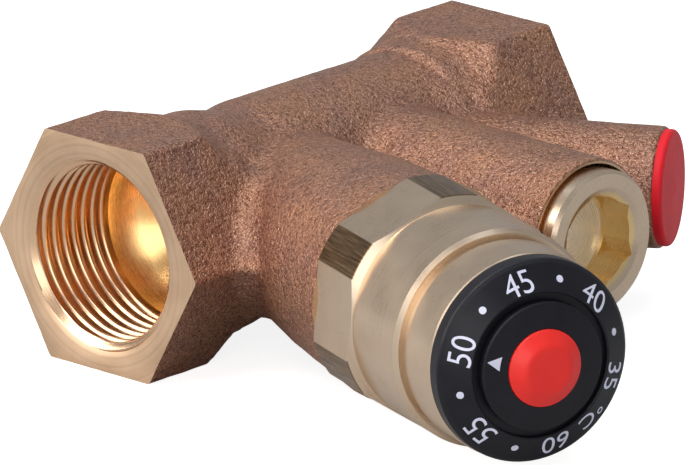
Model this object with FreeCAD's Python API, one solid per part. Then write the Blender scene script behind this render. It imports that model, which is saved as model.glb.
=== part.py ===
import FreeCAD, Part
import math
import os

# Thermostatic circulation valve, millimetres. X runs along the pipe and points out of the
# inlet mouth, whose centre is the origin. The branches lie level and leave towards -Y.

# Pipe ends of the casting
run_length = 78.8
hex_flats = 32.0
hex_round = 0.7
hex_straight = 11.4
shoulder_length = 6.4
corner_slope = 30.0
thread_major_r = 13.22
thread_length = 13.4
lead_width = 1.0
lead_depth = 0.35
relief_r = 12.2
outlet_depth = 20.3
inlet_depth = 15.0
waterway_r = 7.0

# Barrel between the ends, from the outlet end's shoulder to the inlet end's
collar_r = 15.25
collar_width = 2.8
neck_r = 14.05
neck_fall = 5.2
neck_width = 1.8
barrel_r = 14.5
barrel_rise = 2.7
inlet_collar_width = 1.4
inlet_collar_rise = 3.6
cast_ease = 5.0

# Thermostat branch: distance of its axis from the inlet mouth and lean from the outlet end
branch_x = 46.56
branch_lean = 70.0
branch_root_r = 10.9
branch_body_r = 14.35
branch_body_height = 29.5
branch_ease = 14.0
branch_end_r = 15.4
branch_height = 45.9
branch_thread_r = 12.6
branch_thread_depth = 13.9
chamber_r = 11.0
chamber_floor = 19.0
seat_hole_r = 5.5
seat_depth = 3.0

# Plug boss
plug_x = 30.8
plug_boss_root_r = 11.6
plug_boss_r = 11.0
plug_boss_height = 44.6
plug_bore_r = 7.0
plug_thread_r = 8.33
plug_thread_depth = 10.6
plug_recess_r = 10.35
plug_recess = 1.0
inlet_way_end = 5.0
cross_passage_r = 4.0
cross_passage_y = 26.0

# Gauge boss
gauge_x = 28.2
gauge_lean = 120.0
gauge_boss_root_r = 9.15
gauge_boss_r = 8.3
gauge_boss_height = 42.3
gauge_bore_r = 3.6
gauge_thread_r = 6.6
gauge_thread_depth = 12.0

# Cast radii where the branches meet the run
cast_fillet = 3.0
boss_edge = 0.4

# Bonnet
bonnet_flats = 30.0
bonnet_barrel_r = 14.8
bonnet_corner_r = 16.0
bonnet_turn = 25.3
bonnet_hex_height = 10.5
bonnet_barrel_length = 12.2
bonnet_barrel_chamfer = 0.55
land_length = 1.2
land_r = 13.55
bonnet_cavity_r = 8.4
bonnet_web = 6.7
spigot_r = 10.7
spigot_length = 3.0
clip_recess_r = 6.0
clip_recess_depth = 2.8
bonnet_seal_wire = 1.0
bonnet_seal_drop = 1.5
key_width = 3.0
key_height = 1.2

# Scale sleeve and scale ring
sleeve_r = 13.85
sleeve_length = 6.9
sleeve_chamfer = 0.25
ring_r = 13.72
ring_wall = 1.9
ring_edge_round = 0.5
ring_rise = 4.6
ring_shell = 2.6
lip_r = 9.7
lip_round = 0.25
groove_depth = 1.0
ledge_thickness = 1.2

# Setting knob and button
knob_r = 8.65
knob_proud = 0.4
knob_dome = 0.6
knob_hub_r = 6.8
knob_hub_length = 7.1
knob_floor = 1.5
button_r = 5.2
button_wall = 1.0
button_proud = 0.25
button_dome = 1.3
button_crown_round = 1.6
button_skirt = 2.9
button_travel = 1.5
button_coils = 4
button_wire = 0.5

# Spindle, lift nut and clip
stem_r = 3.5
stem_tip_r = 3.0
stem_collar_r = 6.0
stem_collar = 1.6
stem_thread_r = 3.0
stem_thread_length = 9.7
seal_groove_r = 2.7
stem_seal_wire = 0.8
clip_thickness = 0.8
clip_r = 5.0
clip_gap = 3.0
screw_r = 1.5
screw_head_r = 2.4
screw_head = 1.5
screw_socket = 2.5
screw_length = 7.0
nut_r = 8.0
nut_length = 10.0
nut_floor = 2.0
nut_pocket = 1.2
setting_lead = 3.6
turn_to_cold = 184.0
turn_to_hot = 115.0

# Expansion element and regulating cone
thermal_stroke = 2.5
closing_gap = 0.3
seat_lip = 0.6
seat_lip_width = 0.8
seat_ring_r = 7.95
seat_ring_bore = 5.0
cone_seal_r = 7.4
cone_seal_thickness = 1.5
cone_nose_r = 3.0
cone_nose = 1.0
cone_disc_r = 10.2
cone_disc = 2.2
cone_socket_wall = 1.4
cone_socket_depth = 1.6
cup_r = 4.8
cup_length = 10.0
element_collar_r = 7.0
element_collar = 2.5
element_neck_r = 3.4
element_neck = 5.0
element_round = 0.4
piston_r = 1.5
piston_engagement = 5.5
piston_room = 1.0
return_coils = 2.5
return_wire = 0.8
return_spring_r = 9.3

# Drain plug
plug_collar_r = 9.87
plug_collar = 3.05
plug_bevel = 0.5
plug_key = 12.0
plug_key_depth = 5.3
plug_key_turn = 3.4
plug_drill_over = 0.22
plug_drill_past = 0.8
plug_countersink = 7.5
plug_seal_thickness = 0.4
plug_seal_inset = 0.4

# Gauge pocket and cap
pocket_tip = 3.0
pocket_tip_round = 1.0
pocket_tube_r = 3.0
pocket_wall = 0.8
pocket_seal_thickness = 1.0
pocket_sunk = 0.5
cap_r = 7.95
cap_thickness = 1.3
cap_round = 0.6
cap_crown = 0.25
cap_skirt_r = 4.9
cap_skirt = 6.0
cap_wall = 0.9

# Clearances
thread_fit = 0.05
slide_fit = 0.08
hub_gap = 0.4
running_gap = 0.3
guide_gap = 0.4

# Levels along the thermostat branch, from the run's axis outwards
hex_top = branch_height + bonnet_hex_height
barrel_top = hex_top + bonnet_barrel_length
land_top = barrel_top + land_length
sleeve_top = land_top + sleeve_length
lip_top = sleeve_top + ring_rise
ledge_top = lip_top - groove_depth
knob_under = ledge_top + running_gap
knob_edge_top = lip_top + knob_proud
knob_top = knob_edge_top + knob_dome
hub_bottom = knob_under - knob_hub_length
button_top = knob_top + button_proud + button_dome
button_bottom = knob_top - button_skirt
knob_floor_top = button_bottom - button_travel - closing_gap
knob_floor_under = knob_floor_top - knob_floor
clip_floor = land_top + spigot_length - clip_recess_depth
web_under = clip_floor - bonnet_web - land_length
collar_top = web_under - closing_gap / 3
collar_under = collar_top - stem_collar
spindle_bottom = collar_under - stem_thread_length
lift_out = setting_lead * turn_to_hot / 360
lift_in = setting_lead * turn_to_cold / 360
nut_bottom = spindle_bottom - lift_out - closing_gap - nut_floor
seat_top = chamber_floor + seat_lip
seal_under = seat_top + lift_in + thermal_stroke + closing_gap
cone_under = seal_under + cone_seal_thickness
cup_bottom = cone_under + cone_disc / 2
neck_top = cup_bottom + cup_length + element_collar + element_neck
bonnet_bottom = branch_height - branch_thread_depth + closing_gap

hex_half = hex_flats / 2
hex_corner = hex_half / math.cos(math.pi / 6)
slope = math.tan(math.radians(corner_slope))


def vec(x, y, z):
    return FreeCAD.Vector(x, y, z)


def branch_frame(distance, lean):
    """Frame with its Z out along a branch and its X straight up."""
    angle = math.radians(lean)
    out = vec(-math.cos(angle), -math.sin(angle), 0)
    up = vec(0, 0, 1)
    turn = FreeCAD.Rotation(up, out.cross(up), out, "ZXY")
    return FreeCAD.Placement(vec(-distance, 0, 0), turn)


def outline(points):
    """Closed wire through corners (a, b); a third number rounds that corner."""
    corners = [vec(point[0], point[1], 0) for point in points]
    turns = []
    for i, corner in enumerate(corners):
        radius = points[i][2] if len(points[i]) > 2 else 0
        if not radius:
            turns.append((corner, None, corner))
            continue
        back = (corners[i - 1] - corner).normalize()
        ahead = (corners[(i + 1) % len(corners)] - corner).normalize()
        half = back.getAngle(ahead) / 2
        reach = radius / math.tan(half)
        middle = corner + (back + ahead).normalize() * (radius / math.sin(half) - radius)
        turns.append((corner + back * reach, middle, corner + ahead * reach))
    edges = []
    for i, (start, middle, end) in enumerate(turns):
        if middle:
            edges.append(Part.Arc(start, middle, end).toShape())
        following = turns[(i + 1) % len(turns)][0]
        if end.distanceToPoint(following) > 1e-6:
            edges.append(Part.makeLine(end, following))
    return Part.Wire(edges)


def turned(points):
    """Solid of revolution about local Z from an outline of (radius, height) corners."""
    section = outline(points)
    section.rotate(vec(0, 0, 0), vec(1, 0, 0), 90)
    return Part.Face(section).revolve(vec(0, 0, 0), vec(0, 0, 1), 360)


def rod(radius, bottom, top):
    return Part.makeCylinder(radius, top - bottom, vec(0, 0, bottom))


def tube(inner, outer, bottom, top):
    return turned([(inner, bottom), (outer, bottom), (outer, top), (inner, top)])


def hexagon(flats, bottom, top, turn=0.0, corner_round=0.0):
    """Hexagon prism with one flat facing local X, turned about its axis."""
    reach = flats / math.sqrt(3)
    points = []
    for i in range(6):
        angle = math.radians(turn + 30 + 60 * i)
        points.append((reach * math.cos(angle), reach * math.sin(angle), corner_round))
    prism = Part.Face(outline(points)).extrude(vec(0, 0, top - bottom))
    prism.translate(vec(0, 0, bottom))
    return prism


def o_ring(mean_r, wire, height):
    return Part.makeTorus(mean_r, wire / 2, vec(0, 0, height))


def coil(mean_r, wire, bottom, top, turns):
    """Coil spring whose wire just touches the planes at both ends."""
    rise = top - bottom - wire
    path = Part.makeHelix(rise / turns, rise, mean_r)
    start = Part.makeCircle(wire / 2, vec(mean_r, 0, 0), vec(0, 1, 0))
    spring = Part.Wire(path).makePipeShell([Part.Wire(start)], True, True)
    spring.translate(vec(0, 0, bottom + wire / 2))
    return spring


def placed(shape, frame):
    shape.Placement = frame.multiply(shape.Placement)
    return shape


def save(shape, node):
    solid = shape.Solids[0] if len(shape.Solids) == 1 else shape
    solid.exportStep("parts/" + node + ".step")


run_frame = branch_frame(run_length, 180)
branch = branch_frame(branch_x, branch_lean)
plug_frame = branch_frame(plug_x, 90)
gauge_frame = branch_frame(gauge_x, gauge_lean)


def pipe_end():
    """Hexagon end from its flat mouth, with a shoulder falling from the corners to the collar."""
    length = hex_straight + shoulder_length
    lathe = turned([(0, 0), (hex_corner, 0), (hex_corner, hex_straight), (collar_r, length), (0, length)])
    return hexagon(hex_flats, 0, length, 0, hex_round).common(lathe)


def run_casting():
    outlet_end = pipe_end()
    inlet_end = pipe_end()
    inlet_end.rotate(vec(0, 0, 0), vec(1, 0, 0), 180)
    inlet_end.translate(vec(0, 0, run_length))
    start = hex_straight + shoulder_length
    end = run_length - start
    collar_end = start + collar_width
    neck_start = collar_end + neck_fall
    neck_end = neck_start + neck_width
    inlet_collar = end - inlet_collar_width
    barrel = turned([(0, start), (collar_r, start), (collar_r, collar_end, cast_ease),
                     (neck_r, neck_start, cast_ease), (neck_r, neck_end, cast_ease),
                     (barrel_r, neck_end + barrel_rise, cast_ease),
                     (barrel_r, inlet_collar - inlet_collar_rise, cast_ease),
                     (collar_r, inlet_collar, cast_ease), (collar_r, end), (0, end)])
    return placed(outlet_end.fuse(barrel).fuse(inlet_end), run_frame)


def blended(base, branch_solid):
    """Fuse a branch to the casting with a cast radius along the line where they meet."""
    solid = base.fuse(branch_solid)
    meeting = []
    for edge in solid.Edges:
        middle = Part.Vertex(edge.valueAt((edge.FirstParameter + edge.LastParameter) / 2))
        on_branch = middle.distToShape(branch_solid.Shells[0])[0] < 1e-4
        if on_branch and middle.distToShape(base.Shells[0])[0] < 1e-4:
            meeting.append(edge)
    return solid.makeFillet(cast_fillet, meeting)


def casting():
    """Outer form of the body: the run with its three branches."""
    thermostat = turned([(0, 0), (branch_root_r, 0), (branch_body_r, branch_body_height, branch_ease),
                         (branch_end_r, branch_height), (0, branch_height)])
    plug_boss = turned([(0, 0), (plug_boss_root_r, 0), (plug_boss_r, plug_boss_height, boss_edge),
                        (0, plug_boss_height)])
    gauge_boss = turned([(0, 0), (gauge_boss_root_r, 0), (gauge_boss_r, gauge_boss_height, boss_edge),
                         (0, gauge_boss_height)])
    solid = blended(run_casting(), placed(gauge_boss, gauge_frame))
    solid = blended(solid, placed(thermostat, branch))
    return blended(solid, placed(plug_boss, plug_frame))


def pipe_socket(depth):
    """Threaded mouth, relief and flat-bottomed socket, cut inwards from height 0."""
    lead_r = thread_major_r + lead_width
    return turned([(0, 0), (lead_r, 0), (thread_major_r, lead_depth),
                   (thread_major_r, thread_length), (relief_r, thread_length + thread_major_r - relief_r),
                   (relief_r, depth), (0, depth)])


def valve_body():
    solid = casting()
    outlet = pipe_socket(outlet_depth)
    inlet = pipe_socket(inlet_depth)
    inlet.rotate(vec(0, 0, 0), vec(1, 0, 0), 180)
    inlet.translate(vec(0, 0, run_length))
    outlet_way = rod(waterway_r, outlet_depth, run_length - branch_x + seat_hole_r)
    inlet_way = rod(waterway_r, run_length - plug_x - inlet_way_end, run_length - inlet_depth)
    for cut in (outlet, inlet, outlet_way, inlet_way):
        solid = solid.cut(placed(cut, run_frame))

    thread_floor = branch_height - branch_thread_depth
    chamber = turned([(0, 0), (seat_hole_r, 0), (seat_hole_r, chamber_floor - seat_depth),
                      (seat_ring_r, chamber_floor - seat_depth), (seat_ring_r, chamber_floor),
                      (chamber_r, chamber_floor), (chamber_r, thread_floor),
                      (branch_thread_r, thread_floor), (branch_thread_r, branch_height), (0, branch_height)])
    solid = solid.cut(placed(chamber, branch))

    plug_floor = plug_boss_height - plug_thread_depth
    plug_seat = plug_boss_height - plug_recess
    plug_way = turned([(0, 0), (plug_bore_r, 0), (plug_bore_r, plug_floor), (plug_thread_r, plug_floor),
                       (plug_thread_r, plug_seat), (plug_recess_r, plug_seat),
                       (plug_recess_r, plug_boss_height), (0, plug_boss_height)])
    solid = solid.cut(placed(plug_way, plug_frame))

    gauge_floor = gauge_boss_height - gauge_thread_depth
    gauge_way = turned([(0, 0), (gauge_bore_r, 0), (gauge_bore_r, gauge_floor), (gauge_thread_r, gauge_floor),
                        (gauge_thread_r, gauge_boss_height), (0, gauge_boss_height)])
    solid = solid.cut(placed(gauge_way, gauge_frame))

    cross_length = branch_x - plug_x - cross_passage_y * math.tan(math.radians(branch_lean - 90))
    cross_length -= chamber_r * 0.75
    cross = Part.makeCylinder(cross_passage_r, cross_length, vec(-plug_x, -cross_passage_y, 0), vec(-1, 0, 0))
    return solid.cut(cross)


def bonnet():
    """Hexagon with turned corners, barrel, land and spigot; cavity and keyways from below."""
    shank_r = branch_thread_r - thread_fit
    top_rise = (bonnet_corner_r - bonnet_barrel_r) * slope
    hex_lathe = turned([(0, branch_height), (bonnet_corner_r, branch_height),
                        (bonnet_corner_r, hex_top - top_rise), (bonnet_barrel_r, hex_top), (0, hex_top)])
    head = hexagon(bonnet_flats, branch_height, hex_top, bonnet_turn).common(hex_lathe)
    chamfer = bonnet_barrel_chamfer
    edge_r = bonnet_barrel_r - chamfer
    barrel = turned([(0, hex_top), (bonnet_barrel_r, hex_top), (bonnet_barrel_r, barrel_top - chamfer),
                     (edge_r, barrel_top), (land_r, barrel_top), (land_r, land_top), (spigot_r, land_top),
                     (spigot_r, land_top + spigot_length), (0, land_top + spigot_length)])
    solid = head.fuse(barrel).fuse(rod(shank_r, bonnet_bottom, branch_height))
    solid = solid.cut(rod(bonnet_cavity_r, bonnet_bottom, web_under))
    solid = solid.cut(rod(stem_r + slide_fit, web_under, clip_floor))
    solid = solid.cut(rod(clip_recess_r, clip_floor, land_top + spigot_length))
    groove_middle = branch_height - bonnet_seal_drop
    groove_half = bonnet_seal_wire / 2 + closing_gap
    solid = solid.cut(tube(shank_r - bonnet_seal_wire, shank_r, groove_middle - groove_half,
                           groove_middle + groove_half))
    slot_width = key_width + 2 * guide_gap
    slot_reach = 2 * (nut_r + key_height + guide_gap)
    slot = Part.makeBox(slot_reach, slot_width, collar_under - bonnet_bottom,
                        vec(-slot_reach / 2, -slot_width / 2, bonnet_bottom))
    return solid.cut(slot)


def lift_nut():
    top = nut_bottom + nut_length
    nut = rod(nut_r, nut_bottom, top)
    reach = 2 * (nut_r + key_height)
    keys = Part.makeBox(reach, key_width, nut_length, vec(-reach / 2, -key_width / 2, nut_bottom))
    nut = nut.fuse(keys).cut(rod(stem_thread_r + slide_fit, nut_bottom + nut_floor, top))
    return nut.cut(rod(piston_r + thread_fit, nut_bottom, nut_bottom + nut_pocket))


def seal_heights():
    third = (clip_floor - web_under) / 3
    return [web_under + third, web_under + 2 * third]


def setting_spindle():
    """Stem with a thrust collar, seal grooves, clip groove and a threaded inner end."""
    clip_bottom = clip_floor + closing_gap / 3
    stem_top = clip_bottom + 2 * clip_thickness
    tip_top = knob_floor_under - closing_gap / 3
    spindle = turned([(0, spindle_bottom), (stem_thread_r, spindle_bottom), (stem_thread_r, collar_under),
                      (stem_collar_r, collar_under), (stem_collar_r, collar_top), (stem_r, collar_top),
                      (stem_r, stem_top), (stem_tip_r, stem_top), (stem_tip_r, tip_top), (0, tip_top)])
    for height in seal_heights():
        groove = stem_seal_wire + thread_fit
        spindle = spindle.cut(tube(seal_groove_r, stem_collar_r, height - groove / 2, height + groove / 2))
    spindle = spindle.cut(tube(seal_groove_r, stem_collar_r, clip_bottom, clip_bottom + clip_thickness))
    hole_depth = screw_length - knob_floor + closing_gap
    return spindle.cut(rod(screw_r + thread_fit, tip_top - hole_depth, tip_top))


def spindle_clip():
    bottom = clip_floor + closing_gap / 3
    ring = tube(seal_groove_r, clip_r, bottom, bottom + clip_thickness)
    return ring.cut(Part.makeBox(clip_r, clip_gap, clip_thickness, vec(0, -clip_gap / 2, bottom)))


def pointer_knob():
    """Domed disc over a hub; the button's well opens at the top, the spindle's socket below."""
    well_r = button_r + slide_fit
    socket_r = stem_tip_r + thread_fit
    return turned([(socket_r, hub_bottom), (knob_hub_r, hub_bottom), (knob_hub_r, knob_under),
                   (knob_r, knob_under), (knob_r, knob_edge_top, lip_round), (well_r, knob_top),
                   (well_r, knob_floor_top), (screw_r + thread_fit, knob_floor_top),
                   (screw_r + thread_fit, knob_floor_under), (socket_r, knob_floor_under)])


def centre_button():
    wall_top = button_top - button_dome
    crown_r = button_r * 0.62
    inner_r = button_r - button_wall
    ceiling = wall_top - button_wall / 2
    return turned([(0, ceiling), (inner_r, ceiling), (inner_r, button_bottom), (button_r, button_bottom),
                   (button_r, wall_top, lip_round), (crown_r, button_top, button_crown_round),
                   (0, button_top)])


def lock_screw():
    head_bottom = knob_floor_top
    shank_bottom = head_bottom - screw_length
    screw = turned([(0, shank_bottom), (screw_r, shank_bottom), (screw_r, head_bottom),
                    (screw_head_r, head_bottom), (screw_head_r, head_bottom + screw_head, lip_round),
                    (0, head_bottom + screw_head)])
    return screw.cut(hexagon(screw_socket, head_bottom + screw_head / 3, head_bottom + screw_head))


def scale_ring():
    """Ring with a short outer wall, a conical figure face, an inner lip and a ledge."""
    ledge_under = ledge_top - ledge_thickness
    shell_r = ring_r - ring_shell
    wall_top = sleeve_top + ring_wall
    return turned([(knob_hub_r + hub_gap, ledge_under), (shell_r, ledge_under), (shell_r, sleeve_top),
                   (ring_r, sleeve_top), (ring_r, wall_top, ring_edge_round),
                   (ring_r - ring_edge_round, wall_top + ring_edge_round), (lip_r, lip_top, lip_round),
                   (lip_r, ledge_top), (knob_hub_r + hub_gap, ledge_top)])


def scale_sleeve():
    edge = sleeve_chamfer
    inner = spigot_r + thread_fit
    return turned([(inner, land_top), (sleeve_r - edge, land_top), (sleeve_r, land_top + edge),
                   (sleeve_r, sleeve_top - edge), (sleeve_r - edge, sleeve_top), (inner, sleeve_top)])


def seat_ring():
    outer = seat_ring_r - thread_fit
    lip = seat_ring_bore + seat_lip_width
    return turned([(seat_ring_bore, chamber_floor - seat_depth), (outer, chamber_floor - seat_depth),
                   (outer, chamber_floor), (lip, chamber_floor), (lip, seat_top), (seat_ring_bore, seat_top)])


def regulating_cone():
    disc_top = cone_under + cone_disc
    boss_top = cup_bottom + cone_socket_depth
    socket_r = cup_r + thread_fit
    boss_r = socket_r + cone_socket_wall
    tip = seal_under - cone_nose
    return turned([(0, tip), (cone_nose_r - cone_nose, tip), (cone_nose_r, seal_under),
                   (cone_nose_r, cone_under), (cone_disc_r, cone_under), (cone_disc_r, disc_top),
                   (boss_r, disc_top), (boss_r, boss_top), (socket_r, boss_top), (socket_r, cup_bottom),
                   (0, cup_bottom)])


def wax_element():
    collar_bottom = cup_bottom + cup_length
    neck_bottom = collar_bottom + element_collar
    bore_r = piston_r + thread_fit
    bore_floor = neck_top - piston_engagement - piston_room
    return turned([(0, cup_bottom), (cup_r, cup_bottom, element_round), (cup_r, collar_bottom),
                   (element_collar_r, collar_bottom), (element_collar_r, neck_bottom),
                   (element_neck_r, neck_bottom), (element_neck_r, neck_top, element_round),
                   (bore_r, neck_top), (bore_r, bore_floor), (0, bore_floor)])


def drain_plug():
    """Collared plug with a countersunk key socket, broached through a slightly wider drilled hole."""
    collar_bottom = plug_boss_height - plug_recess + plug_seal_thickness
    face = collar_bottom + plug_collar
    shank_r = plug_thread_r - thread_fit
    shank_bottom = plug_boss_height - plug_thread_depth + closing_gap
    key_half = plug_key / 2
    key_floor = face - plug_key_depth
    sink_floor = face - (plug_countersink - key_half) * slope
    plug = turned([(0, shank_bottom), (shank_r, shank_bottom), (shank_r, collar_bottom),
                   (plug_collar_r, collar_bottom), (plug_collar_r, face - plug_bevel),
                   (plug_collar_r - plug_bevel, face), (0, face)])
    plug = plug.cut(hexagon(plug_key, key_floor, face, 90 + plug_key_turn))
    plug = plug.cut(rod(key_half + plug_drill_over, key_floor - plug_drill_past, face))
    return plug.cut(turned([(0, sink_floor), (key_half, sink_floor), (plug_countersink, face), (0, face)]))


def plug_seal():
    bottom = plug_boss_height - plug_recess
    top = bottom + plug_seal_thickness
    return tube(plug_thread_r + thread_fit, plug_collar_r - plug_seal_inset, bottom, top)


def gauge_pocket():
    seal_top = gauge_boss_height - gauge_thread_depth + pocket_seal_thickness
    head_top = gauge_boss_height - pocket_sunk
    head_r = gauge_thread_r - thread_fit
    bore_r = pocket_tube_r - pocket_wall
    well_r = cap_skirt_r + thread_fit
    well_floor = head_top - cap_skirt
    return turned([(0, pocket_tip), (pocket_tube_r, pocket_tip, pocket_tip_round), (pocket_tube_r, seal_top),
                   (head_r, seal_top), (head_r, head_top), (well_r, head_top), (well_r, well_floor),
                   (bore_r, well_floor), (bore_r, pocket_tip + pocket_wall), (0, pocket_tip + pocket_wall)])


def pocket_seal():
    bottom = gauge_boss_height - gauge_thread_depth
    top = bottom + pocket_seal_thickness
    return tube(pocket_tube_r + thread_fit, gauge_thread_r - thread_fit, bottom, top)


def port_cap():
    """Push-in cap: crowned disc with a rounded rim and a hollow skirt."""
    bottom = gauge_boss_height
    top = bottom + cap_thickness
    skirt_bottom = bottom - cap_skirt + pocket_sunk
    return turned([(0, bottom), (cap_skirt_r - cap_wall, bottom), (cap_skirt_r - cap_wall, skirt_bottom),
                   (cap_skirt_r, skirt_bottom), (cap_skirt_r, bottom), (cap_r, bottom),
                   (cap_r, top, cap_round), (0, top + cap_crown)])


os.makedirs("parts", exist_ok=True)

save(valve_body(), "valve_body")

bonnet_seal_r = branch_thread_r - thread_fit - bonnet_seal_wire / 2
rings = [o_ring(seal_groove_r + stem_seal_wire / 2, stem_seal_wire, height) for height in seal_heights()]
piston_bottom = neck_top - piston_engagement
spring_r = button_r - button_wall - button_wire
branch_pieces = {
    "bonnet": bonnet(),
    "bonnet_seal": o_ring(bonnet_seal_r, bonnet_seal_wire, branch_height - bonnet_seal_drop),
    "scale_sleeve": scale_sleeve(),
    "scale_ring": scale_ring(),
    "pointer_knob": pointer_knob(),
    "centre_button": centre_button(),
    "button_spring": coil(spring_r, button_wire, knob_floor_top, button_top - button_dome - button_wall / 2,
                          button_coils),
    "lock_screw": lock_screw(),
    "setting_spindle": setting_spindle(),
    "spindle_seals": Part.makeCompound(rings),
    "spindle_clip": spindle_clip(),
    "lift_nut": lift_nut(),
    "element_piston": rod(piston_r, piston_bottom, nut_bottom + nut_pocket),
    "wax_element": wax_element(),
    "regulating_cone": regulating_cone(),
    "cone_seal": tube(cone_nose_r + thread_fit, cone_seal_r, seal_under, cone_under),
    "return_spring": coil(return_spring_r, return_wire, chamber_floor, cone_under, return_coils),
    "seat_ring": seat_ring(),
}
for node, shape in branch_pieces.items():
    save(placed(shape, branch), node)

save(placed(drain_plug(), plug_frame), "drain_plug")
save(placed(plug_seal(), plug_frame), "plug_seal")
save(placed(gauge_pocket(), gauge_frame), "gauge_pocket")
save(placed(pocket_seal(), gauge_frame), "pocket_seal")
save(placed(port_cap(), gauge_frame), "port_cap")
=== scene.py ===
import math

import bmesh
import bpy
import numpy as np
from mathutils import Matrix, Vector, noise


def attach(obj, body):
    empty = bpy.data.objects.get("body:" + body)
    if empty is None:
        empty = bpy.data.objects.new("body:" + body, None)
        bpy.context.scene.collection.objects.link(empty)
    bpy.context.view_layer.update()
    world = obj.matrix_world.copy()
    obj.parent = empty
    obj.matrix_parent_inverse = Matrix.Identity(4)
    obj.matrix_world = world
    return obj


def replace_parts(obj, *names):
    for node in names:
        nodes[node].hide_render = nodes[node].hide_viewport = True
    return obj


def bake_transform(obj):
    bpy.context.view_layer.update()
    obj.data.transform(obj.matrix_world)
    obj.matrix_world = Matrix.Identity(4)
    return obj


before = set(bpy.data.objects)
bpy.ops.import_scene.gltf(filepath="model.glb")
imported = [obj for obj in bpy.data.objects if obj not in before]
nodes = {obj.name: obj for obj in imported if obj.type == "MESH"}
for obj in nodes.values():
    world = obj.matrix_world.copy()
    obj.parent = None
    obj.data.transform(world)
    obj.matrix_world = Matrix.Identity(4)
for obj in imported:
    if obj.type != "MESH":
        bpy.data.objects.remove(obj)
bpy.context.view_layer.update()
MM = 0.001
UP = Vector((0, 0, 1))

# Sizes of the solids that the added pieces sit on, millimetres and degrees
RUN_LENGTH = 78.8
HEX_HALF = 16.0
HEX_CORNER_R = HEX_HALF / math.cos(math.pi / 6)
COLLAR_R = 15.25
BARREL_R = 14.5
THREAD_PITCH = 1.814
THREAD_MAJOR_R = 13.22
THREAD_MINOR_R = 12.06
THREAD_LENGTH = 13.4
RELIEF_R = 12.2
LEAD_WIDTH = 1.0
LEAD_DEPTH = 0.35
MOUTH_CONE_DEPTH = 1.25
BRANCH_X = 46.56
BRANCH_LEAN = 70.0
BRANCH_HEIGHT = 45.9
PLUG_X = 30.8
PLUG_LEAN = 90.0
PLUG_BOSS_HEIGHT = 44.6
PLUG_FACE = 47.05
KEY_CORNER_R = 7.2
KEY_DEPTH = 6.1
GAUGE_X = 28.2
GAUGE_LEAN = 120.0
GAUGE_BOSS_HEIGHT = 42.3
BONNET_FLAT_HALF = 15.0
BONNET_CORNER_R = 16.0
BONNET_TURN = 25.3
# Slanted faces of the dial, outer and inner edge: radius and height along the branch
RING_FACE = ((13.22, 79.1), (9.7, 81.3))
KNOB_FACE = ((8.65, 81.7), (5.28, 82.3))

# Camera that took the photograph: view angles, distance, scale at the run's middle and aim
CAMERA_AZIMUTH = -45.974
CAMERA_ELEVATION = 17.569
CAMERA_ROLL = -1.0125
CAMERA_DISTANCE = 1608.7
CAMERA_SCALE = 7.3989
AIM_RIGHT = 5.506
AIM_UP = -5.892
FRAME_WIDTH = 686
SENSOR_WIDTH = 36.0


def branch_out(lean):
    """Direction of a branch that leans from the run's axis by an angle in degrees."""
    angle = math.radians(lean)
    return Vector((-math.cos(angle), -math.sin(angle), 0))


BRANCH_OUT = branch_out(BRANCH_LEAN)
BRANCH_SIDE = BRANCH_OUT.cross(UP)
BRANCH_FOOT = Vector((-BRANCH_X * MM, 0, 0))
PLUG_OUT = branch_out(PLUG_LEAN)
PLUG_FOOT = Vector((-PLUG_X * MM, 0, 0))
GAUGE_OUT = branch_out(GAUGE_LEAN)
GAUGE_FOOT = Vector((-GAUGE_X * MM, 0, 0))
INLET_MOUTH = Vector((0, 0, 0))
INLET_OUT = Vector((1, 0, 0))
OUTLET_MOUTH = Vector((-RUN_LENGTH * MM, 0, 0))


def eased(share):
    """A share from 0 to 1 that starts and ends gently."""
    share = min(max(share, 0.0), 1.0)
    return share * share * (3 - 2 * share)


def linear(red, green, blue):
    """sRGB 0-255 to linear RGBA."""
    channels = []
    for value in (red, green, blue):
        share = value / 255
        channels.append(share / 12.92 if share <= 0.04045 else ((share + 0.055) / 1.055) ** 2.4)
    return (*channels, 1.0)


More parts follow.
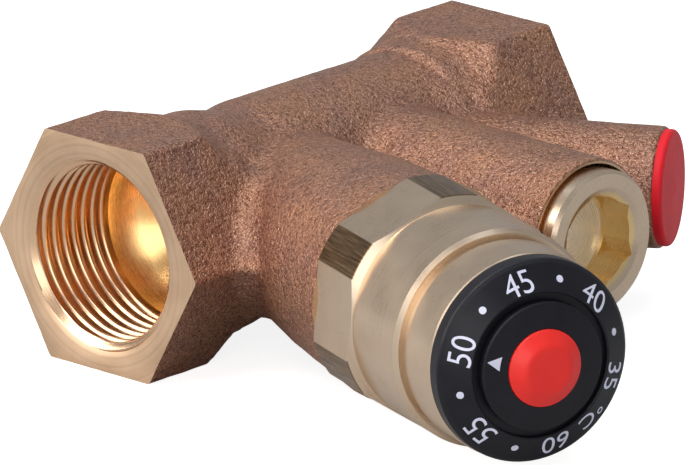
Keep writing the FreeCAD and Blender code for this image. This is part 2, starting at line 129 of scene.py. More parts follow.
class Finish:
    """A Principled material with short calls for its procedural nodes."""

    def __init__(self, name, **constants):
        self.material = bpy.data.materials.new(name)
        self.material.use_nodes = True
        self.tree = self.material.node_tree
        self.shader = self.tree.nodes["Principled BSDF"]
        self.place = self.make("ShaderNodeTexCoord").outputs["Object"]
        for socket, value in constants.items():
            self.shader.inputs[socket.replace("_", " ")].default_value = value

    def make(self, kind, **settings):
        node = self.tree.nodes.new(kind)
        for name, value in settings.items():
            setattr(node, name, value)
        return node

    def put(self, socket, value):
        """Link an output to a socket, or set the socket's own value."""
        if isinstance(value, bpy.types.NodeSocket):
            self.tree.links.new(value, socket)
        else:
            socket.default_value = value

    def noise(self, scale, detail=3.0, rough=0.6, where=None):
        node = self.make("ShaderNodeTexNoise")
        self.put(node.inputs["Vector"], where or self.place)
        node.inputs["Scale"].default_value = scale
        node.inputs["Detail"].default_value = detail
        node.inputs["Roughness"].default_value = rough
        return node.outputs["Fac"]

    def calc(self, operation, a, b=0.0):
        node = self.make("ShaderNodeMath", operation=operation)
        self.put(node.inputs[0], a)
        self.put(node.inputs[1], b)
        return node.outputs[0]

    def times(self, a, b):
        return self.calc("MULTIPLY", a, b)

    def weighed(self, a, b, share):
        """Sum of two values, the first by its share and the second by the rest."""
        return self.calc("ADD", self.times(a, share), self.times(b, 1 - share))

    def vector(self, operation, a, b=(0, 0, 0), output="Vector"):
        node = self.make("ShaderNodeVectorMath", operation=operation)
        self.put(node.inputs[0], a)
        self.put(node.inputs[1], b)
        return node.outputs[output]

    def dot(self, a, b):
        return self.vector("DOT_PRODUCT", a, b, "Value")

    def span(self, value, low, high, out_low=0.0, out_high=1.0):
        """Carry a value from one range to another, held at the ends."""
        node = self.make("ShaderNodeMapRange", clamp=True)
        self.put(node.inputs["Value"], value)
        limits = {"From Min": low, "From Max": high, "To Min": out_low, "To Max": out_high}
        for socket, number in limits.items():
            node.inputs[socket].default_value = number
        return node.outputs[0]

    def ramp(self, value, *stops):
        node = self.make("ShaderNodeValToRGB")
        self.put(node.inputs["Fac"], value)
        points = node.color_ramp.elements
        while len(points) < len(stops):
            points.new(0.5)
        for point, (place, colour) in zip(points, stops):
            point.position = place
            point.color = colour
        return node.outputs["Color"]

    def mix(self, share, a, b, blend="MIX"):
        node = self.make("ShaderNodeMix", data_type="RGBA", blend_type=blend)
        colours = [socket for socket in node.inputs if socket.type == "RGBA"]
        self.put(node.inputs["Factor"], share)
        self.put(colours[0], a)
        self.put(colours[1], b)
        return next(socket for socket in node.outputs if socket.type == "RGBA")

    def combine(self, x, y, z=0.0):
        node = self.make("ShaderNodeCombineXYZ")
        for socket, value in zip(node.inputs, (x, y, z)):
            self.put(socket, value)
        return node.outputs[0]

    def bump(self, height, strength, distance):
        node = self.make("ShaderNodeBump")
        self.put(node.inputs["Height"], height)
        node.inputs["Strength"].default_value = strength
        node.inputs["Distance"].default_value = distance
        return node.outputs["Normal"]

    def about(self, foot, axis):
        """Distances along and from an axis, in metres."""
        away = self.vector("SUBTRACT", self.place, tuple(foot))
        along = self.dot(away, tuple(axis))
        left = self.calc("SUBTRACT", self.dot(away, away), self.times(along, along))
        return along, self.calc("SQRT", self.calc("MAXIMUM", left, 0.0))

    def done(self, colour, roughness, normal):
        for socket, value in (("Base Color", colour), ("Roughness", roughness), ("Normal", normal)):
            self.put(self.shader.inputs[socket], value)
        return self.material


# Middle stretch of a noise's values, where nearly all of them lie
NOISE_SPAN = (0.3, 0.7)

# Sand-cast skin: grains and patches to the metre, heights where the glints start and are full
SAND_GRAINS = 1700
FINE_GRAINS = 4200
SAND_SHARE = 0.6
SAND_DEPTH = 0.55 * MM
TONE_PATCHES = 130
SKIN_TONES = (linear(170, 129, 114), linear(192, 142, 114))
# Greys that the grain's height multiplies the colour by: the hollows darker, painted shade
PAINTED_HOLLOW_SHADES = ((0.36, linear(172, 160, 152)), (0.5, linear(236, 232, 230)), (0.64, linear(255, 255, 255)))
GLINT_HEIGHTS = (0.57, 0.67)
GLINT_SHARE = 0.6
GLINT = linear(248, 208, 172)
GLOSS_PATCHES = 900
SKIN_ROUGHNESS = (0.38, 0.52)


def cast_skin():
    """Sand-cast bronze: fine sand grain with pale glints, hollows darkened by painted shade, slow changes of
    tone.
    """
    skin = Finish("cast_bronze_skin", Metallic=1.0)
    fine = skin.noise(FINE_GRAINS, detail=2.0)
    height = skin.weighed(skin.noise(SAND_GRAINS, detail=2.0), fine, SAND_SHARE)
    tone = skin.ramp(skin.noise(TONE_PATCHES), *zip(NOISE_SPAN, SKIN_TONES))
    # The grain's hollows are painted darker: painted shade
    colour = skin.mix(1.0, tone, skin.ramp(height, *PAINTED_HOLLOW_SHADES), "MULTIPLY")
    glint = skin.times(skin.span(fine, *GLINT_HEIGHTS), GLINT_SHARE)
    colour = skin.mix(glint, colour, GLINT)
    rough = skin.span(skin.noise(GLOSS_PATCHES, rough=0.55), *NOISE_SPAN, *SKIN_ROUGHNESS)
    return skin.done(colour, rough, skin.bump(height, 1.0, SAND_DEPTH))


# Turned metal: patches and specks to the metre, and how far the gloss strays from its middle
CLOUDS = 160
CUT_SHARE = 0.5
TURNED_SPAN = (0.35, 0.65)
SPECKS = 1100
SPECK_HEIGHTS = (0.70, 0.78)
SPECK_SHARE = 0.12
SPECK = linear(96, 74, 58)
CUT_AND_CLOUD_SPAN = (0.7, 1.3)
SMOOTHER = 0.04
ROUGHER = 0.05
CUT_HEIGHT = 0.02 * MM


def turned_metal(name, line, tones, rough, marks, depth, zones=None):
    """Lathe-cut metal: fine rings about a line, a little cloudiness and a few rubbed specks."""
    metal = Finish(name, Metallic=1.0)
    along, radial = metal.about(*line)
    rings = metal.combine(metal.times(along, marks), metal.times(radial, marks))
    cut = metal.noise(1.0, detail=2.0, where=rings)
    cloud = metal.noise(CLOUDS, detail=4.0)
    colour = metal.ramp(metal.weighed(cut, cloud, CUT_SHARE), *zip(TURNED_SPAN, tones))
    speck = metal.span(metal.noise(SPECKS, detail=2.0, rough=0.5), *SPECK_HEIGHTS)
    colour = metal.mix(metal.times(speck, SPECK_SHARE), colour, SPECK)
    gloss = (rough - SMOOTHER, rough + ROUGHER)
    spread = metal.span(metal.calc("ADD", cut, cloud), *CUT_AND_CLOUD_SPAN, *gloss)
    if zones:
        colour = zones(metal, along, radial, colour)
    return metal.done(colour, spread, metal.bump(cut, depth, CUT_HEIGHT))


# Raw bar on the bonnet's corners: its edge in radians and millimetres, streaks to the radian and metre
PATCH_FADE = 0.006
PATCH_DEPTH = (0.16, 0.08)
STREAKS_ROUND = 60.0
STREAKS_ALONG = 160.0
RAW_BAR = ((0.35, linear(92, 70, 48)), (0.6, linear(142, 114, 84)), (0.75, linear(184, 156, 120)))


def raw_corners(metal, along, radial, colour):
    """Brown skin of the raw bar left on the hexagon's corners, drawn out along the axis."""
    away = metal.vector("SUBTRACT", metal.place, tuple(BRANCH_FOOT))
    turn = metal.calc("ARCTAN2", metal.dot(away, tuple(BRANCH_SIDE)), metal.dot(away, tuple(UP)))
    sixth = math.pi / 3
    step = metal.calc("ADD", turn, 2 * math.pi - math.radians(BONNET_TURN))
    step = metal.calc("MODULO", step, sixth)
    from_corner = metal.calc("ABSOLUTE", metal.calc("SUBTRACT", step, sixth / 2))
    reach = sixth / 2 - math.acos(BONNET_FLAT_HALF / BONNET_CORNER_R)
    patch = metal.span(from_corner, reach + PATCH_FADE, reach - PATCH_FADE)
    outer = metal.span(radial, *((BONNET_CORNER_R - depth) * MM for depth in PATCH_DEPTH))
    drawn = metal.combine(metal.times(turn, STREAKS_ROUND), metal.times(along, STREAKS_ALONG))
    skin = metal.ramp(metal.noise(1.0, where=drawn), *RAW_BAR)
    return metal.mix(metal.times(patch, outer), colour, skin)


# Key socket: where its walls and floor start and are full, millimetres from the corner, face and floor
KEY_RIM = 0.1
WALL_FADE = (0.3, 0.5)
FLOOR_FADE = (0.3, 0.1)
KEY_WALL = linear(236, 204, 146)
# Pale cream of the socket's floor: painted light
KEY_FLOOR_PAINTED_LIGHT = linear(250, 236, 212)
KEY_FLOOR_METALLIC = 0.35


def key_socket(metal, along, radial, colour):
    """Gold walls of the plug's key socket, and its floor painted pale and less metallic: painted light."""
    inside = metal.span(radial, KEY_CORNER_R * MM, (KEY_CORNER_R - KEY_RIM) * MM)
    sunk = metal.span(along, *((PLUG_FACE - depth) * MM for depth in WALL_FADE))
    bottom = metal.span(along, *((PLUG_FACE - KEY_DEPTH + height) * MM for height in FLOOR_FADE))
    bottom = metal.times(bottom, inside)
    colour = metal.mix(metal.times(sunk, inside), colour, KEY_WALL)
    metal.put(metal.shader.inputs["Metallic"], metal.span(bottom, 0, 1, 1.0, KEY_FLOOR_METALLIC))
    # The socket's floor is painted pale: painted light
    return metal.mix(bottom, colour, KEY_FLOOR_PAINTED_LIGHT)


# Moulded plastic: patches and scuffs to the metre, and what the texture and the scuffs do to the gloss
PLASTIC_IOR = 1.5
PLASTIC_CLOUDS = 220
SCUFFS = 600
SCUFF_HEIGHTS = (0.62, 0.75)
SCUFF_ROUGHNESS = 0.08
TEXTURE_ROUGHNESS = 0.05
TEXTURE_HEIGHT = 0.03 * MM


def moulded(name, tones, rough, grain, depth, gloss=0.5):
    """Moulded plastic: faint cloudiness, a fine moulded texture and a few scuffs."""
    plastic = Finish(name, IOR=PLASTIC_IOR, Specular_IOR_Level=gloss)
    colour = plastic.ramp(plastic.noise(PLASTIC_CLOUDS), *zip(NOISE_SPAN, tones))
    texture = plastic.noise(grain, detail=2.0)
    scuff = plastic.span(plastic.noise(SCUFFS, detail=4.0, rough=0.7), *SCUFF_HEIGHTS)
    spread = plastic.span(texture, *NOISE_SPAN, rough - TEXTURE_ROUGHNESS, rough + TEXTURE_ROUGHNESS)
    spread = plastic.calc("ADD", spread, plastic.times(scuff, SCUFF_ROUGHNESS))
    return plastic.done(colour, spread, plastic.bump(texture, depth, TEXTURE_HEIGHT))


# Lines that the lathe turned about, and the tones of each finish from dark to light
RUN_LINE = (INLET_MOUTH, INLET_OUT)
BRANCH_LINE = (BRANCH_FOOT, BRANCH_OUT)
PLUG_LINE = (PLUG_FOOT, PLUG_OUT)
FACE_TONES = (linear(196, 164, 134), linear(216, 185, 155))
# The bore's bronze is toned brighter and golder than the end face's: painted light
BORE_TONES_PAINTED_BRIGHT = (linear(245, 198, 130), linear(255, 212, 148))
THREAD_TONES = (linear(214, 174, 138), linear(232, 196, 162))
BRASS_TONES = (linear(207, 183, 158), linear(219, 197, 172))
STEEL_TONES = (linear(170, 170, 174), linear(200, 200, 204))
BLACK_TONES = (linear(18, 17, 23), linear(25, 24, 31))
BUTTON_TONES = (linear(228, 40, 34), linear(236, 46, 38))
CAP_TONES = (linear(210, 28, 40), linear(222, 34, 46))
RUBBER_TONES = (linear(20, 20, 20), linear(34, 34, 34))
PAINT_TONES = (linear(206, 206, 226), linear(222, 222, 240))

finishes = {
    "skin": cast_skin(),
    "face": turned_metal("machined_face", RUN_LINE, FACE_TONES, rough=0.42, marks=2600, depth=0.3),
    # Bore tones painted brighter than the end face's bronze: painted light
    "bore": turned_metal("machined_bore", RUN_LINE, BORE_TONES_PAINTED_BRIGHT, rough=0.26, marks=7000, depth=0.3),
    "thread": turned_metal("machined_thread", RUN_LINE, THREAD_TONES, rough=0.22, marks=7000, depth=0.3),
    "bonnet": turned_metal("bonnet_brass_turned", BRANCH_LINE, BRASS_TONES,
                           rough=0.30, marks=8000, depth=0.15, zones=raw_corners),
    "plug": turned_metal("plug_brass_turned", PLUG_LINE, BRASS_TONES,
                         rough=0.26, marks=8000, depth=0.15, zones=key_socket),
    "steel": turned_metal("spring_steel_bright", BRANCH_LINE, STEEL_TONES, rough=0.3, marks=6000, depth=0.15),
    "black": moulded("black_plastic_satin", BLACK_TONES, rough=0.40, grain=4200, depth=0.25, gloss=0.26),
    "button": moulded("red_plastic_button", BUTTON_TONES, rough=0.36, grain=3000, depth=0.12, gloss=0.35),
    "cap": moulded("red_plastic_cap", CAP_TONES, rough=0.46, grain=3000, depth=0.15, gloss=0.15),
    "rubber": moulded("seal_rubber_matt", RUBBER_TONES, rough=0.7, grain=5000, depth=0.4),
    "paint": moulded("scale_paint", PAINT_TONES, rough=0.5, grain=5000, depth=0.2),
}
node_finish = {
    "bonnet": "bonnet", "scale_sleeve": "bonnet", "setting_spindle": "bonnet", "lift_nut": "bonnet",
    "wax_element": "bonnet", "regulating_cone": "bonnet", "drain_plug": "plug", "gauge_pocket": "plug",
    "scale_ring": "black", "pointer_knob": "black", "centre_button": "button", "port_cap": "cap",
    "bonnet_seal": "rubber", "spindle_seals": "rubber", "cone_seal": "rubber", "plug_seal": "rubber",
    "pocket_seal": "rubber", "button_spring": "steel", "lock_screw": "steel", "spindle_clip": "steel",
    "element_piston": "steel", "return_spring": "steel", "seat_ring": "steel", "valve_body": "skin",
}
for node, finish in node_finish.items():
    nodes[node].data.materials.clear()
    nodes[node].data.materials.append(finishes[finish])


def linked(name, data):
    """A new object in the scene."""
    obj = bpy.data.objects.new(name, data)
    bpy.context.scene.collection.objects.link(obj)
    return obj


def mesh_of(shape, name, *materials):
    """Turn a finished bmesh into a mesh with its finishes."""
    mesh = bpy.data.meshes.new(name)
    shape.to_mesh(mesh)
    shape.free()
    for material in materials:
        mesh.materials.append(finishes[material])
    return mesh


def piece(name, mesh, body):
    """A piece that rides on a body, with the finishes its mesh carries."""
    obj = linked(name, mesh)
    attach(obj, body)
    return obj


# Points nearer than this are one point, and a point this near to a machined face lies on it, metres
SAME_POINT = 5e-7
ON_FACE = 5e-6


def shell_of(node):
    """A node's joined corner points and triangles, in metres."""
    mesh = nodes[node].data
    points = np.empty(len(mesh.vertices) * 3, np.float32)
    mesh.vertices.foreach_get("co", points)
    mesh.calc_loop_triangles()
    corners = np.empty(len(mesh.loop_triangles) * 3, np.int32)
    mesh.loop_triangles.foreach_get("vertices", corners)
    points = points.reshape(-1, 3).astype(float)
    _, first, joined = np.unique(np.round(points / SAME_POINT).astype(np.int64), axis=0,
                                 return_index=True, return_inverse=True)
    triangles = joined.reshape(-1)[corners].reshape(-1, 3)
    whole = (triangles[:, 0] != triangles[:, 1]) & (triangles[:, 1] != triangles[:, 2])
    whole &= triangles[:, 0] != triangles[:, 2]
    return points[first], triangles[whole]


SKIN, FACE, BORE = 0, 1, 2
# Flat machined faces: a point on each and the direction it looks in
MACHINED = (
    (INLET_MOUTH, INLET_OUT),
    (OUTLET_MOUTH, -INLET_OUT),
    (BRANCH_FOOT + BRANCH_OUT * BRANCH_HEIGHT * MM, BRANCH_OUT),
    (PLUG_FOOT + PLUG_OUT * PLUG_BOSS_HEIGHT * MM, PLUG_OUT),
    (GAUGE_FOOT + GAUGE_OUT * GAUGE_BOSS_HEIGHT * MM, GAUGE_OUT),
)
LEAD_OUTER_R = THREAD_MAJOR_R + LEAD_WIDTH
LEAD_MARGIN = 0.01


def body_zones(points, triangles):
    """Which triangles of the body are cast skin, flat machined face or bore."""
    zone = np.full(len(triangles), -1)
    for spot, normal in MACHINED:
        level = (points - np.array(spot)) @ np.array(normal)
        zone[(np.abs(level[triangles]) < ON_FACE).all(1)] = FACE
    from_mouth = np.minimum(-points[:, 0], points[:, 0] + RUN_LENGTH * MM)
    radius = np.hypot(points[:, 1], points[:, 2])
    lead = (from_mouth < LEAD_DEPTH * MM + ON_FACE) & (radius < (LEAD_OUTER_R + LEAD_MARGIN) * MM)
    zone[lead[triangles].all(1)] = FACE
    # What hangs together without the machined faces gets one label, and the highest point is on the skin
    rest = triangles[zone != FACE]
    label = np.arange(len(points))
    while True:
        lowest = label[rest].min(1)
        after = label.copy()
        np.minimum.at(after, rest.reshape(-1), np.repeat(lowest, 3))
        after = after[after]
        if (after == label).all():
            break
        label = after
    skin_label = label[rest[np.argmax(points[rest][:, :, 2].max(1))][0]]
    zone[zone != FACE] = np.where(label[rest[:, 0]] == skin_label, SKIN, BORE)
    return zone


# Shoulders behind the hexagon ends, inlet and outlet: where the corners stop and how far the ease runs
SHOULDERS = ((11.0, 6.5), (11.4, 6.4))
INLET_STEP = (18.4, 19.8)
# Branches of the run: foot, direction and how far round the axis their cast radius reaches
BRANCHES = ((BRANCH_FOOT, BRANCH_OUT, 16.0), (PLUG_FOOT, PLUG_OUT, 13.5), (GAUGE_FOOT, GAUGE_OUT, 11.5))
BRANCH_FADE = 2.5


def run_limit(from_inlet):
    """Greatest radius of the run's shoulders, collars and barrel at a distance from the inlet mouth."""
    inlet_side = from_inlet < RUN_LENGTH / 2
    start, length = SHOULDERS[0 if inlet_side else 1]
    from_mouth = from_inlet if inlet_side else RUN_LENGTH - from_inlet
    left = 1 - min(max((from_mouth - start) / length, 0.0), 1.0)
    radius = COLLAR_R + (HEX_CORNER_R - COLLAR_R) * left * left
    if inlet_side:
        low, high = INLET_STEP
        radius -= (COLLAR_R - BARREL_R) * eased((from_mouth - low) / (high - low))
    return radius


def trimmed(point):
    """A point of the skin, drawn in to the run's eased form where no branch stands."""
    free = 1.0
    for foot, out, reach in BRANCHES:
        away = point - foot
        distance = (away - out * max(away.dot(out), 0.0)).length / MM
        free *= eased((distance - reach) / BRANCH_FADE)
    radius = math.hypot(point.y, point.z) / MM
    excess = radius - run_limit(-point.x / MM)
    if excess <= 0 or radius > HEX_CORNER_R or not free:
        return point
    scale = 1 - free * excess / radius
    return Vector((point.x, point.y * scale, point.z * scale))


# Cast skin: longest edge of its triangles, how it is cut and smoothed, and which bends of a bore stay sharp
SKIN_EDGE = 0.95 * MM
CUTS = 8
SMOOTHINGS = 2
SMOOTH_SHARE = 0.5
BORE_CREASE = math.radians(25)
# Unevenness of the cast skin: size of the lumps and how far they stand out
LUMPS = ((3.2 * MM, 0.05 * MM), (1.3 * MM, 0.035 * MM))


def cut_finer(shape, longest, rounds, wanted):
    """Halve the wanted edges of a triangle mesh until none is too long."""
    for _ in range(rounds):
        long_edges = [edge for edge in shape.edges if wanted(edge) and edge.calc_length() > longest]
        if not long_edges:
            break
        bmesh.ops.subdivide_edges(shape, edges=long_edges, cuts=1)
        bmesh.ops.triangulate(shape, faces=[face for face in shape.faces if len(face.verts) > 3])


def touches_skin(element):
    """Whether an edge or a corner point belongs to a triangle of cast skin."""
    return any(face.material_index == SKIN for face in element.link_faces)


def lump(vertex):
    """How far a point of the skin moves: out of the skin, but along any machined face that it borders."""
    normal = Vector((0, 0, 0))
    for face in vertex.link_faces:
        if face.material_index == SKIN:
            normal += face.normal * face.calc_area()
    normal.normalize()
    for face in vertex.link_faces:
        if face.material_index == FACE:
            normal -= face.normal * normal.dot(face.normal)
    return normal * sum(reach * noise.noise(vertex.co / size) for size, reach in LUMPS)


def cast_body():
    """The body's shell with its skin cut into small triangles and made uneven like a sand casting."""
    points, triangles = shell_of("valve_body")
    shell = bmesh.new()
    corners = [shell.verts.new(point) for point in points]
    for triangle, zone in zip(triangles, body_zones(points, triangles)):
        face = shell.faces.new([corners[i] for i in triangle])
        face.material_index = int(zone)
        face.smooth = True
    for edge in shell.edges:
        sides = {face.material_index for face in edge.link_faces}
        bent = BORE in sides and edge.calc_face_angle(0) > BORE_CREASE
        edge.smooth = len(sides) == 1 and not bent
    cut_finer(shell, SKIN_EDGE, CUTS, touches_skin)
    inner = [v for v in shell.verts if all(face.material_index == SKIN for face in v.link_faces)]
    for vertex in inner:
        vertex.co = trimmed(vertex.co)
    for _ in range(SMOOTHINGS):
        bmesh.ops.smooth_vert(shell, verts=inner, factor=SMOOTH_SHARE,
                              use_axis_x=True, use_axis_y=True, use_axis_z=True)
    shell.normal_update()
    moves = [(vertex, lump(vertex)) for vertex in shell.verts if touches_skin(vertex)]
    for vertex, move in moves:
        vertex.co += move
    mesh = mesh_of(shell, "valve_casting", "skin", "face", "bore")
    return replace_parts(piece("valve_casting", mesh, "valve"), "valve_body")


# Pipe thread of 55 degrees: full triangle, cut-off tip and depth of the form, in pitches
FULL_TRIANGLE = 0.9605
TIP_CUT = 0.1601
FORM_DEPTH = 0.6403
# Steps to a pitch and round the bore, where the ridges run out, their start, and clearances, millimetres
THREAD_STEPS = 14
THREAD_SIDES = 96
RUN_OUT = (12.5, 13.9)
THREAD_PHASE = 0.35
ROOT_CLEARANCE = 0.03
RELIEF_CLEARANCE = 0.02
MOUTH_OVERLAP = 0.01
WALL_OVERLAP = 0.02
THREAD_CREASE = math.radians(40)
THREAD_JOIN = 1e-7


def ridge_radius(depth, phase):
    """Radius of the pipe thread's surface: rounded ridges, cut back at the mouth and run out inside."""
    from_crest = abs((phase % 1.0) - 0.5) * 2
    root = THREAD_MAJOR_R - ROOT_CLEARANCE
    height = eased((FULL_TRIANGLE * (1 - from_crest) - TIP_CUT) / FORM_DEPTH)
    radius = root - (root - THREAD_MINOR_R) * height
    start, stop = RUN_OUT
    radius += (RELIEF_R - RELIEF_CLEARANCE - radius) * eased((depth - start) / (stop - start))
    share = (depth - LEAD_DEPTH) / (MOUTH_CONE_DEPTH - LEAD_DEPTH)
    cone = THREAD_MAJOR_R - (THREAD_MAJOR_R - THREAD_MINOR_R) * share
    return min(max(radius, cone), THREAD_MAJOR_R + MOUTH_OVERLAP)


def pipe_thread(name, mouth, inward):
    """Ridges of one socket, a closed ring that sits in the plain bore."""
    ring = bmesh.new()
    end = THREAD_LENGTH + THREAD_MAJOR_R - RELIEF_R
    turns = math.ceil(end / THREAD_PITCH) + 1
    rows = (turns + 1) * THREAD_STEPS
    wall = THREAD_MAJOR_R + WALL_OVERLAP
    side = UP.cross(inward)

    def spot(depth, turn, radius):
        angle = 2 * math.pi * turn
        across = UP * math.cos(angle) + side * math.sin(angle)
        return ring.verts.new(mouth + (inward * depth + across * radius) * MM)

    grid = []
    backs = []
    for i in range(THREAD_SIDES + 1):
        turn = i / THREAD_SIDES
        column = []
        for j in range(rows):
            depth = (j / THREAD_STEPS - 1 + turn) * THREAD_PITCH
            depth = min(max(depth, LEAD_DEPTH), end)
            column.append(spot(depth, turn, ridge_radius(depth, depth / THREAD_PITCH - turn + THREAD_PHASE)))
        grid.append(column)
        backs.append((spot(LEAD_DEPTH, turn, wall), spot(end, turn, wall)))
    for i in range(THREAD_SIDES):
        for j in range(rows - 1):
            ring.faces.new((grid[i][j], grid[i + 1][j], grid[i + 1][j + 1], grid[i][j + 1]))
        ring.faces.new((backs[i][0], backs[i][1], backs[i + 1][1], backs[i + 1][0]))
        ring.faces.new((grid[i][0], backs[i][0], backs[i + 1][0], grid[i + 1][0]))
        ring.faces.new((grid[i][-1], grid[i + 1][-1], backs[i + 1][1], backs[i][1]))
    bmesh.ops.remove_doubles(ring, verts=ring.verts[:], dist=THREAD_JOIN)
    bmesh.ops.dissolve_degenerate(ring, dist=THREAD_JOIN, edges=ring.edges[:])
    bmesh.ops.recalc_face_normals(ring, faces=ring.faces[:])
    for face in ring.faces:
        face.smooth = True
    for edge in ring.edges:
        edge.smooth = edge.calc_face_angle(0) < THREAD_CREASE
    return piece(name, mesh_of(ring, name, "thread"), "valve")


cast_body()
pipe_thread("outlet_thread", OUTLET_MOUTH, INLET_OUT)
pipe_thread("inlet_thread", INLET_MOUTH, -INLET_OUT)


# Coil springs: steps to a turn, sides of the wire, and each spring's wire in millimetres and turns
SPRING_STEPS = 32
SPRING_SIDES = 10
RETURN_WIRE = 0.8
RETURN_TURNS = 2.5
BUTTON_WIRE = 0.5
BUTTON_TURNS = 4


def spring(name, node, wire, turns, first=0.0, last=1.0):
    """A stretch of a coil spring about the branch, by shares of its height."""
    points, _ = shell_of(node)
    away = points - np.array(BRANCH_FOOT)
    along = away @ np.array(BRANCH_OUT)
    wire_r = wire * MM / 2
    mean_r = np.linalg.norm(away - np.outer(along, BRANCH_OUT), axis=1).max() - wire_r
    bottom = along.min()
    height = along.max() - bottom
    coil = bmesh.new()
    count = math.ceil((last - first) * turns * SPRING_STEPS)
    rings = []
    for i in range(count + 1):
        share = first + (last - first) * i / count
        turn = 2 * math.pi * turns * share
        radial = UP * math.cos(turn) + BRANCH_SIDE * math.sin(turn)
        climb = bottom + wire_r + (height - 2 * wire_r) * share
        centre = BRANCH_FOOT + BRANCH_OUT * climb + radial * mean_r
        ring = []
        for k in range(SPRING_SIDES):
            angle = 2 * math.pi * k / SPRING_SIDES
            across = radial * math.cos(angle) + BRANCH_OUT * math.sin(angle)
            ring.append(coil.verts.new(centre + across * wire_r))
        rings.append(ring)
    for near, far in zip(rings, rings[1:]):
        for k in range(SPRING_SIDES):
            coil.faces.new((near[k - 1], near[k], far[k], far[k - 1])).smooth = True
    coil.faces.new(rings[0])
    coil.faces.new(rings[-1])
    bmesh.ops.recalc_face_normals(coil, faces=coil.faces[:])
    obj = linked(name, mesh_of(coil, name, "steel"))
    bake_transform(obj)
    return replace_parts(obj, node)


spring("button_spring_coil", "button_spring", BUTTON_WIRE, BUTTON_TURNS)
# The return spring is made in two halves: the lower one beside the lift nut, the upper one beside the wax
# element
spring("return_spring_lower", "return_spring", RETURN_WIRE, RETURN_TURNS, last=0.5)
spring("return_spring_upper", "return_spring", RETURN_WIRE, RETURN_TURNS, first=0.5)


# Printed marks: how far they stand proud, their thickness and longest edge, millimetres
MARK_PROUD = 0.03
MARK_THICK = 0.10
MARK_EDGE = 0.35
MARK_CUTS = 4
FIGURE_THINNED = 0.004


def glyph(text, size):
    """Flat triangles of a figure, centred, in millimetres."""
    curve = bpy.data.curves.new("glyph", "FONT")
    curve.body = text
    curve.size = size
    curve.align_x = "CENTER"
    curve.offset = -size * FIGURE_THINNED
    holder = linked("glyph", curve)
    bpy.context.view_layer.update()
    flat = bpy.data.meshes.new_from_object(holder.evaluated_get(bpy.context.evaluated_depsgraph_get()))
    shape = bmesh.new()
    shape.from_mesh(flat)
    bpy.data.objects.remove(holder)
    bpy.data.curves.remove(curve)
    bpy.data.meshes.remove(flat)
    heights = [vertex.co.y for vertex in shape.verts]
    middle = (min(heights) + max(heights)) / 2
    for vertex in shape.verts:
        vertex.co.y -= middle
    return shape


def disc(radius, sides):
    """A flat round dot, in millimetres."""
    shape = bmesh.new()
    bmesh.ops.create_circle(shape, cap_ends=True, cap_tris=True, radius=radius, segments=sides)
    return shape


def polygon(points):
    """A flat face through points, in millimetres."""
    shape = bmesh.new()
    shape.faces.new([shape.verts.new((x, y, 0)) for x, y in points])
    return shape


def wrapped(shape, face, angle, out=0.0):
    """Lay a flat mark on a cone about the branch, its top outwards, and give it a thickness."""
    bmesh.ops.triangulate(shape, faces=shape.faces[:])
    cut_finer(shape, MARK_EDGE, MARK_CUTS, lambda edge: True)
    (outer_r, outer_h), (inner_r, inner_h) = face
    slant = Vector((outer_r - inner_r, outer_h - inner_h)).normalized()
    lift = Vector((-slant.y, slant.x))
    middle = Vector((outer_r + inner_r, outer_h + inner_h)) / 2 + slant * out
    for flat_face in shape.faces:
        flat_face.smooth = False
    grown = bmesh.ops.extrude_face_region(shape, geom=shape.faces[:])
    raised = {item for item in grown["geom"] if isinstance(item, bmesh.types.BMVert)}
    for vertex in shape.verts:
        stand = MARK_PROUD if vertex in raised else MARK_PROUD - MARK_THICK
        place = middle + slant * vertex.co.y + lift * stand
        turn = angle - vertex.co.x / (middle.x + slant.x * vertex.co.y)
        radial = UP * math.cos(turn) + BRANCH_SIDE * math.sin(turn)
        vertex.co = BRANCH_FOOT + (radial * place.x + BRANCH_OUT * place.y) * MM
    bmesh.ops.recalc_face_normals(shape, faces=shape.faces[:])
    return shape


def mark(name, shapes, body):
    """One painted piece out of several marks."""
    joined = bmesh.new()
    for shape in shapes:
        flat = mesh_of(shape, "part_of_mark")
        joined.from_mesh(flat)
        bpy.data.meshes.remove(flat)
    return piece(name, mesh_of(joined, name, "paint"), body)


# Dial: figures in the order they stand round it, angles in degrees from the top, sizes in millimetres
FIGURES = ("45", "50", "55", "60", "35", "40")
FIRST_FIGURE = 12.7
FIGURE_STEP = 360 / len(FIGURES)
FIGURE_SIZE = 4.6
FIGURE_WIDE = 0.92
UNIT_AFTER = "60"
UNIT_SIZE = 0.85 * FIGURE_SIZE
DOT_R = 0.5
DOT_SIDES = 20
POINTER_ANGLE = 77.0
POINTER_HALF = 0.95
POINTER_FOOT = -0.75
POINTER_TIP = 1.05
POINTER_SHIFT = 0.2

scale_marks = []
for step, figure in enumerate(FIGURES):
    angle = math.radians(FIRST_FIGURE + FIGURE_STEP * step)
    shape = glyph(figure, FIGURE_SIZE)
    for vertex in shape.verts:
        vertex.co.x *= FIGURE_WIDE
    scale_marks.append(wrapped(shape, RING_FACE, angle))
    between = angle + math.radians(FIGURE_STEP / 2)
    follower = glyph("°C", UNIT_SIZE) if figure == UNIT_AFTER else disc(DOT_R, DOT_SIDES)
    scale_marks.append(wrapped(follower, RING_FACE, between))
mark("scale_figures", scale_marks, "valve")

pointer = polygon([(-POINTER_HALF, POINTER_FOOT), (POINTER_HALF, POINTER_FOOT), (0, POINTER_TIP)])
mark("pointer_mark", [wrapped(pointer, KNOB_FACE, math.radians(POINTER_ANGLE), POINTER_SHIFT)], "knob")


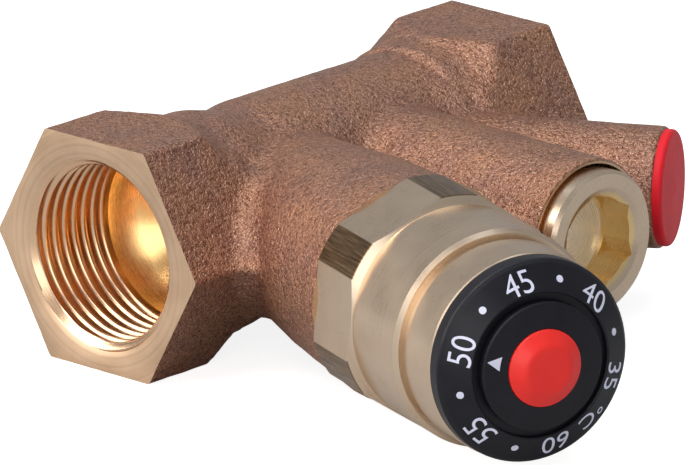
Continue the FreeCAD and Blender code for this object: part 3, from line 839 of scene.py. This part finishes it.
# Camera
azimuth, elevation, roll = (math.radians(a) for a in (CAMERA_AZIMUTH, CAMERA_ELEVATION, CAMERA_ROLL))
toward = Vector((-math.sin(azimuth), math.cos(azimuth), 0))
ahead = toward * math.cos(elevation) - UP * math.sin(elevation)
level = Vector((math.cos(azimuth), math.sin(azimuth), 0))
above = level.cross(ahead)
view_right = level * math.cos(roll) + above * math.sin(roll)
view_up = above * math.cos(roll) - level * math.sin(roll)
run_middle = Vector((-RUN_LENGTH / 2, 0, 0))
eye = (run_middle + view_right * AIM_RIGHT + view_up * AIM_UP - ahead * CAMERA_DISTANCE) * MM
lens = bpy.data.cameras.new("camera")
lens.sensor_width = SENSOR_WIDTH
lens.lens = CAMERA_SCALE * CAMERA_DISTANCE * SENSOR_WIDTH / FRAME_WIDTH
camera = linked("camera", lens)
camera.matrix_world = Matrix((
    (view_right.x, view_up.x, -ahead.x, eye.x),
    (view_right.y, view_up.y, -ahead.y, eye.y),
    (view_right.z, view_up.z, -ahead.z, eye.z),
    (0, 0, 0, 1),
))
bpy.context.scene.camera = camera
bpy.context.scene.view_settings.view_transform = "Standard"


# Floor: half its side in metres, its greys, patches and grain to the metre, and its glow to the camera
FLOOR_HALF = 4.0
FLOOR_TONES = ((0.45, 0.45, 0.45, 1), (0.49, 0.49, 0.49, 1))
FLOOR_PATCHES = 3.0
FLOOR_GRAIN = 400
FLOOR_BUMP = 0.05
FLOOR_GRAIN_HEIGHT = 0.1 * MM
FLOOR_ROUGHNESS = 0.9
FLOOR_GLOW = 0.85


def floor(half, height):
    """Pale paper: white to the camera, and a middle grey in what the metal reflects."""
    mesh = bpy.data.meshes.new("floor")
    corners = [(-half, -half, height), (half, -half, height), (half, half, height), (-half, half, height)]
    mesh.from_pydata(corners, [], [(0, 1, 2, 3)])
    paper = Finish("pale_floor", Emission_Color=(1, 1, 1, 1))
    tone = paper.ramp(paper.noise(FLOOR_PATCHES, detail=2.0, rough=0.55), *zip(NOISE_SPAN, FLOOR_TONES))
    grain = paper.noise(FLOOR_GRAIN, detail=2.0, rough=0.55)
    seen = paper.make("ShaderNodeLightPath").outputs["Is Camera Ray"]
    paper.put(paper.shader.inputs["Emission Strength"], paper.times(seen, FLOOR_GLOW))
    normal = paper.bump(grain, FLOOR_BUMP, FLOOR_GRAIN_HEIGHT)
    mesh.materials.append(paper.done(tone, FLOOR_ROUGHNESS, normal))
    linked("floor", mesh)


floor(FLOOR_HALF, -HEX_HALF * MM)

# Light: where it aims, and the tints of the lamps and the sky. Lamps are in metres and watts
LIGHT_AIM = Vector((-40, -28, 0)) * MM
WARM = (1.0, 0.96, 0.92)
CREAM = (1.0, 0.97, 0.94)
DAYLIGHT = (0.82, 0.91, 1.0)
WHITE = (1, 1, 1)
SKY = (0.93, 0.96, 1.0, 1)
SKY_STRENGTH = 0.42


def softbox(name, right, up, back, distance, size, power, colour):
    """Area light that faces the object, placed by its direction as seen by the camera."""
    light = bpy.data.lights.new(name, "AREA")
    light.shape = "RECTANGLE"
    light.size, light.size_y = size
    light.energy = power
    light.color = colour
    obj = linked(name, light)
    way = (level * right + UP * up - toward * back).normalized()
    obj.location = LIGHT_AIM + way * distance
    obj.rotation_mode = "QUATERNION"
    obj.rotation_quaternion = (-way).to_track_quat("-Z", "Y")


softbox("key_left", right=-1.0, up=0.45, back=0.2, distance=0.7, size=(0.5, 0.5), power=3.0, colour=WARM)
softbox("upper_left", right=-0.4, up=0.9, back=0.4, distance=0.8, size=(0.4, 0.4), power=2.6, colour=CREAM)
softbox("top", right=0.0, up=1.0, back=-0.1, distance=0.8, size=(0.9, 0.7), power=2.8, colour=DAYLIGHT)
softbox("front", right=-0.15, up=0.3, back=1.0, distance=0.9, size=(0.6, 0.5), power=2.2, colour=WHITE)

world = bpy.data.worlds.new("studio")
world.use_nodes = True
bpy.context.scene.world = world
sky = world.node_tree.nodes["Background"]
sky.inputs["Color"].default_value = SKY
sky.inputs["Strength"].default_value = SKY_STRENGTH
